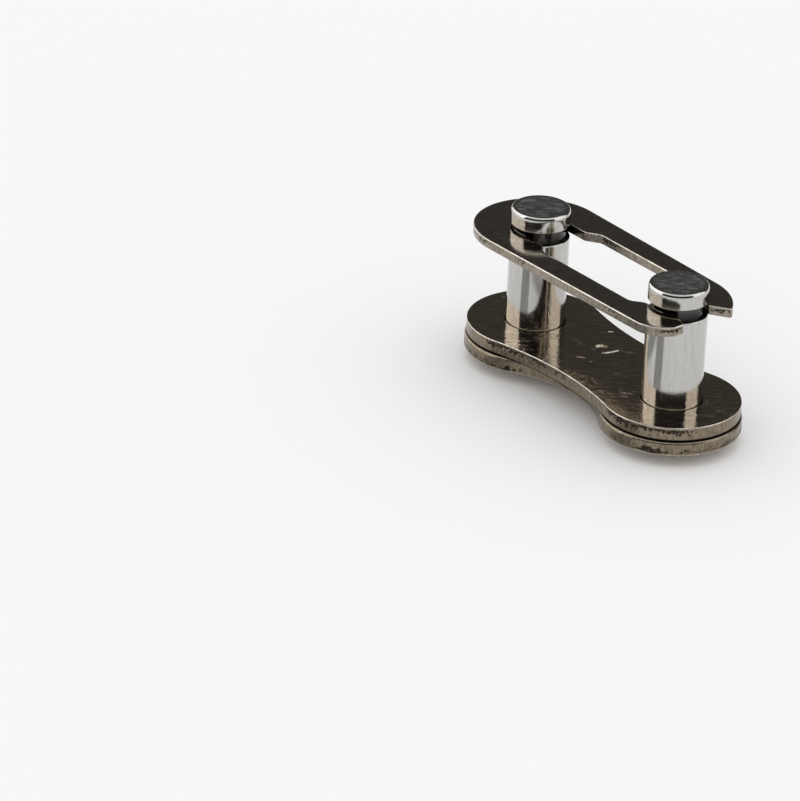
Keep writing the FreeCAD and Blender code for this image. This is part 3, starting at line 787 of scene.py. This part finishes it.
def polished_pin_steel(colours):
    """Hardened pin steel, ground round and polished.

    Grinding leaves fine lines round the shaft and a few pits, and handling leaves faint streaks along
    it, so its bright reflections are slightly broken. The heads' tops are wiped to a duller sheen, and
    the grooves are darkened with painted shade.
    """
    material, tree, output = new_material("ground_and_polished_pin_steel")
    place = add_node(tree, "ShaderNodeTexCoord").outputs["Object"]
    pits = add_node(tree, "ShaderNodeTexNoise", inputs={
        "Vector": place, "Scale": per(0.12), "Detail": 4.0, "Roughness": 0.65}).outputs["Fac"]
    smear = add_node(tree, "ShaderNodeTexNoise", inputs={
        "Vector": place, "Scale": per(0.8), "Detail": 3.0, "Distortion": 0.6}).outputs["Fac"]
    # Real grinding lines are a few microns wide, too fine to show, and are drawn 0.05 mm wide.
    ring_place = add_node(tree, "ShaderNodeMapping", inputs={
        "Vector": place, "Scale": (per(1.5), per(1.5), per(0.05))}).outputs["Vector"]
    rings = add_node(tree, "ShaderNodeTexNoise", inputs={
        "Vector": ring_place, "Scale": 1.0, "Detail": 2.0}).outputs["Fac"]
    drag_place = add_node(tree, "ShaderNodeMapping", inputs={
        "Vector": place, "Scale": (per(0.16), per(0.16), per(1.8))}).outputs["Vector"]
    drag = add_node(tree, "ShaderNodeTexNoise", inputs={
        "Vector": drag_place, "Scale": 1.0, "Detail": 4.0, "Roughness": 0.6}).outputs["Fac"]
    groove_shade, scuffed = (add_node(tree, "ShaderNodeAttribute", {"attribute_name": key}).outputs["Fac"]
                      for key in ("painted_shade", "scuff"))
    speck = add_node(tree, "ShaderNodeMapRange", inputs={
        "Value": pits, "From Min": 0.58, "From Max": 0.7, "To Min": 0.0, "To Max": 0.6}).outputs[0]
    streak = add_node(tree, "ShaderNodeMapRange", inputs={
        "Value": drag, "From Min": 0.4, "From Max": 0.65, "To Min": 0.0, "To Max": 0.2}).outputs[0]
    marks = add_node(tree, "ShaderNodeMath", {"operation": "MAXIMUM"}, {0: speck, 1: streak}).outputs[0]
    pitted = add_node(tree, "ShaderNodeMix", {"data_type": "RGBA"}, {
        0: marks, 6: (*colours.pin, 1), 7: (*(c * 0.4 for c in colours.pin), 1)}).outputs[2]
    # Painted shade down in the grooves.
    base = add_node(tree, "ShaderNodeMix", {"data_type": "RGBA"}, {
        0: groove_shade, 6: pitted, 7: (*colours.groove, 1)}).outputs[2]
    polish = add_node(tree, "ShaderNodeMapRange", inputs={
        "Value": smear, "From Min": 0.3, "From Max": 0.7, "To Min": 0.09, "To Max": 0.17}).outputs[0]
    wiped = add_node(tree, "ShaderNodeMapping", {"vector_type": "TEXTURE"}, {
        "Vector": place, "Rotation": (0, 0, STREAKS_AT), "Scale": (0.9 * MM, 0.22 * MM, 1.0 * MM),
    }).outputs["Vector"]
    wipes = add_node(tree, "ShaderNodeTexNoise", inputs={
        "Vector": wiped, "Scale": 1.0, "Detail": 5.0, "Roughness": 0.6}).outputs["Fac"]
    scuff = add_node(tree, "ShaderNodeMapRange", inputs={
        "Value": wipes, "From Min": 0.36, "From Max": 0.66, "To Min": 0.03, "To Max": 0.24}).outputs[0]
    rough = add_node(tree, "ShaderNodeMath", {"operation": "MULTIPLY_ADD"}, {
        0: scuffed, 1: scuff, 2: polish}).outputs[0]
    ground = add_node(tree, "ShaderNodeBump", inputs={
        "Height": rings, "Strength": 0.5, "Distance": 0.0006 * MM}).outputs["Normal"]
    uneven = add_node(tree, "ShaderNodeBump", inputs={
        "Height": pits, "Strength": 0.6, "Distance": 0.001 * MM, "Normal": ground}).outputs["Normal"]
    shader = add_node(tree, "ShaderNodeBsdfPrincipled", inputs={
        "Base Color": base, "Metallic": 1.0, "Roughness": rough, "Normal": uneven})
    tree.links.new(shader.outputs[0], output.inputs["Surface"])
    return material


def add_stage_sheet(name, points, material):
    """A floor or a studio card from one grid of points."""
    mesh = bpy.data.meshes.new(name)
    mesh.from_pydata(points.reshape(-1, 3), [], grid_quads(*points.shape[:2]))
    mesh.materials.append(material)
    sheet = bpy.data.objects.new(name, mesh)
    bpy.context.scene.collection.objects.link(sheet)
    return sheet


def sky_band(low, high, start, end, radius):
    """Part of a sphere round the object: radius (cos e cos a, cos e sin a, sin e), for the elevation e
    from low to high and the azimuth a from start to end, in degrees."""
    e, a = np.meshgrid(np.radians(np.linspace(low, high, 17)), np.radians(np.linspace(start, end, 73)),
                       indexing="ij")
    return radius * np.stack([np.cos(e) * np.cos(a), np.cos(e) * np.sin(a), np.sin(e)], axis=-1)


def floor_wedge(centre_x, start, end, near, far):
    """Part of a ring on the floor round (x, 0): (x + r cos a, r sin a, 0.02 mm), angles in degrees."""
    r, a = np.meshgrid(np.linspace(near, far, 5), np.radians(np.linspace(start, end, 9)), indexing="ij")
    return np.stack([centre_x + r * np.cos(a), r * np.sin(a), np.full_like(r, 0.02 * MM)], axis=-1)


def add_camera():
    """Camera where the photograph's stood.

    It is the pinhole fitted to the photograph: its turn, tilt and roll in degrees, its distance in
    metres, and in pixels its focal length, the photograph's size and the place of the link's origin.
    """
    turn, tilt, roll = (math.radians(degrees) for degrees in (51.222, 26.363, 2.472))
    distance, focal = 0.311014, 5212.036
    width, height = 800, 801
    origin_across, origin_down = 599.927, 395.622
    back = np.array([math.sin(turn) * math.cos(tilt), -math.cos(turn) * math.cos(tilt), math.sin(tilt)])
    right = np.array([math.cos(turn), math.sin(turn), 0.0])
    up = np.cross(back, right)
    axes = np.stack([
        right * math.cos(roll) + up * math.sin(roll),
        up * math.cos(roll) - right * math.sin(roll),
        back,
    ])
    origin = np.array([origin_across - width / 2, height / 2 - origin_down, -focal]) / focal * distance
    data = bpy.data.cameras.new("camera")
    data.sensor_width = 36.0
    data.lens = focal * data.sensor_width / height
    data.clip_start = 0.01
    camera = bpy.data.objects.new("camera", data)
    place = np.eye(4)
    place[:3, :3] = axes.T
    place[:3, 3] = -axes.T @ origin
    camera.matrix_world = Matrix(place.tolist())
    bpy.context.scene.collection.objects.link(camera)
    bpy.context.scene.camera = camera


# Studio cards that the metal mirrors: dark ones before and behind the object and a soft box at each
# side. Each has its cloth, its lowest and highest elevation, and its first and last azimuth.
SKY_CARDS = (
    ("card_front", "black_studio_card", (-1, 34, -104, 15)),
    ("card_back", "dark_studio_card", (-1, 46, 71, 171)),
    ("soft_box_right", "soft_box_cloth", (2, 62, 16, 70)),
    ("soft_box_left", "bright_soft_box_cloth", (2, 62, 172, 255)),
)
SKY_CARD_DISTANCE = 0.9

# Narrow grey strips on the floor that the pins mirror: each one's side and its first and last azimuth
# round that side's pin, and how near and far from the pin they run.
FLOOR_STRIPS = (("strip_closed", -1, (-98, -68)), ("strip_open", 1, (-111, -82)))
FLOOR_STRIP_REACH = (0.005, 0.03)

# How bright each cloth is, where 1 is white.
CLOTH_LEVELS = {
    "black_studio_card": 0.018,
    "soft_box_cloth": 1.5,
    "bright_soft_box_cloth": 1.85,
    "grey_studio_card": 0.36,
}
HALF_FLOOR = 2.0


class CONNECTING_LINK_OT_stage(bpy.types.Operator):
    """Make the pale floor, the soft light, the studio cards and the camera"""

    bl_idname = "connecting_link.stage"
    bl_label = "Stage"

    def execute(self, context):
        scene, colours = context.scene, context.scene.link_colours
        floor_paint, tree, output = new_material("matt_white_board")
        paint = add_node(tree, "ShaderNodeBsdfDiffuse", inputs={"Color": (*colours.floor, 1)})
        tree.links.new(paint.outputs[0], output.inputs["Surface"])
        x, y = np.meshgrid(*[np.linspace(-HALF_FLOOR, HALF_FLOOR, 3)] * 2)
        add_stage_sheet("floor", np.stack([x, y, np.zeros_like(x)], axis=-1), floor_paint)

        cloths = {}
        for name, level in {**CLOTH_LEVELS, "dark_studio_card": colours.card[1]}.items():
            cloths[name], tree, output = new_material(name)
            glow = add_node(tree, "ShaderNodeEmission", inputs={"Color": (1, 1, 1, 1), "Strength": level})
            tree.links.new(glow.outputs[0], output.inputs["Surface"])
        cards = [add_stage_sheet(name, sky_band(*place, SKY_CARD_DISTANCE), cloths[cloth])
                 for name, cloth, place in SKY_CARDS]
        for name, side, wedge in FLOOR_STRIPS:
            strip = floor_wedge(side * scene.link_sizes.pitch / 2, *wedge, *FLOOR_STRIP_REACH)
            cards.append(add_stage_sheet(name, strip, cloths["grey_studio_card"]))
        for card in cards:
            for ray in ("camera", "diffuse", "transmission", "volume_scatter", "shadow"):
                setattr(card, f"visible_{ray}", False)

        world = bpy.data.worlds.new("soft_studio")
        world.use_nodes = True
        world.node_tree.nodes["Background"].inputs["Color"].default_value = (1, 1, 1, 1)
        world.node_tree.nodes["Background"].inputs["Strength"].default_value = 1.0
        scene.world = world
        scene.view_settings.view_transform = "Standard"
        add_camera()
        return {"FINISHED"}


class CONNECTING_LINK_PT_panel(bpy.types.Panel):
    """The link's makers, sizes and colours in the 3D view's sidebar"""

    bl_idname = "CONNECTING_LINK_PT_panel"
    bl_label = "Connecting link"
    bl_space_type = "VIEW_3D"
    bl_region_type = "UI"
    bl_category = "Connecting link"

    def draw(self, context):
        for maker in MAKERS:
            self.layout.operator(maker.bl_idname)
        for group in (context.scene.link_sizes, context.scene.link_colours):
            box = self.layout.box()
            for name in group.__annotations__:
                box.prop(group, name)


MAKERS = (
    CONNECTING_LINK_OT_stage,
    CONNECTING_LINK_OT_pins,
    CONNECTING_LINK_OT_plates,
    CONNECTING_LINK_OT_clip,
)
CLASSES = (LinkSizes, LinkColours, *MAKERS, CONNECTING_LINK_PT_panel)


def register():
    for item in CLASSES:
        bpy.utils.register_class(item)
    bpy.types.Scene.link_sizes = PointerProperty(type=LinkSizes)
    bpy.types.Scene.link_colours = PointerProperty(type=LinkColours)


def unregister():
    del bpy.types.Scene.link_colours
    del bpy.types.Scene.link_sizes
    for item in reversed(CLASSES):
        bpy.utils.unregister_class(item)


def main():
    register()
    for maker in MAKERS:
        getattr(bpy.ops.connecting_link, maker.bl_idname.split(".")[1])()


if __name__ == "__main__":
    main()
